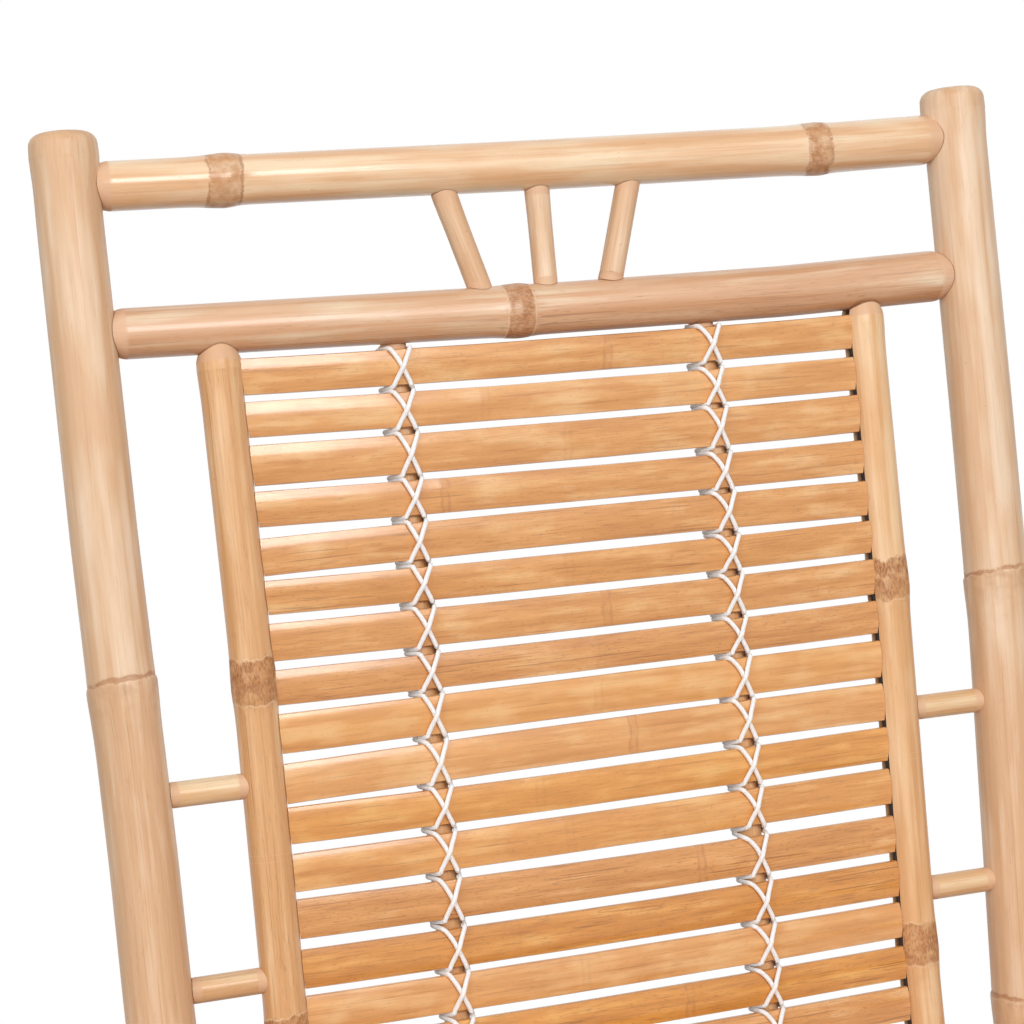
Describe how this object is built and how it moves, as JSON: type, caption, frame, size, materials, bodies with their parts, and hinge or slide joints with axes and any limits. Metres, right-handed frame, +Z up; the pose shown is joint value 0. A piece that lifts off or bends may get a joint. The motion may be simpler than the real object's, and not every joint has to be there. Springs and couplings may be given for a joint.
{
  "type": "bamboo rocking chair",
  "caption": "Bamboo pole rocking chair: bent rockers, reclined back and seat of split slats cross-laced with white cord to poles behind, a fan of spindles under the crest, straight arms.",
  "frame": {"origin": "on the floor, midway between the rockers and midway along them", "axes": "+Z up, the sitter faces -Y, +X is to the right of someone who looks at the front of the chair"},
  "size_m": [0.6442, 0.9626, 1],
  "materials": {
    "pale_culm": "satin varnish on pale bamboo culm",
    "golden_culm": "glossy varnish on golden bamboo culm",
    "split_slat": "glossy varnish on split bamboo",
    "white_cord": "matt twisted cord"
  },
  "bodies": {
    "root": {"post_left": "pale_culm", "post_right": "pale_culm", "crest_rail": "golden_culm", "second_rail": "golden_culm", "spindle_left": "pale_culm", "spindle_middle": "pale_culm", "spindle_right": "pale_culm", "back_side_rail_left": "pale_culm", "back_side_rail_right": "pale_culm", "back_rung_left_upper": "golden_culm", "back_rung_left_lower": "golden_culm", "back_rung_right_upper": "golden_culm", "back_rung_right_lower": "golden_culm", "back_pole_left": "pale_culm", "back_pole_right": "pale_culm", "back_bottom_rail": "golden_culm", "back_slat_01": "split_slat", "back_slat_02": "split_slat", "back_slat_03": "split_slat", "back_slat_04": "split_slat", "back_slat_05": "split_slat", "back_slat_06": "split_slat", "back_slat_07": "split_slat", "back_slat_08": "split_slat", "back_slat_09": "split_slat", "back_slat_10": "split_slat", "back_slat_11": "split_slat", "back_slat_12": "split_slat", "back_slat_13": "split_slat", "back_slat_14": "split_slat", "back_slat_15": "split_slat", "back_slat_16": "split_slat", "back_slat_17": "split_slat", "back_slat_18": "split_slat", "back_slat_19": "split_slat", "back_lacing_left": "white_cord", "back_lacing_right": "white_cord", "rocker_left": "pale_culm", "rocker_right": "pale_culm", "arm_left": "pale_culm", "arm_right": "pale_culm", "front_leg_left": "pale_culm", "front_leg_right": "pale_culm", "rear_leg_left": "pale_culm", "rear_leg_right": "pale_culm", "seat_front_rail": "golden_culm", "seat_rear_rail": "golden_culm", "seat_side_rail_left": "golden_culm", "seat_side_rail_right": "golden_culm", "seat_panel_rail_left": "pale_culm", "seat_panel_rail_right": "pale_culm", "seat_slat_mat": "split_slat", "seat_lacing_left": "white_cord", "seat_lacing_right": "white_cord", "front_stretcher": "golden_culm", "rear_stretcher": "golden_culm"}
  },
  "joints": []
}
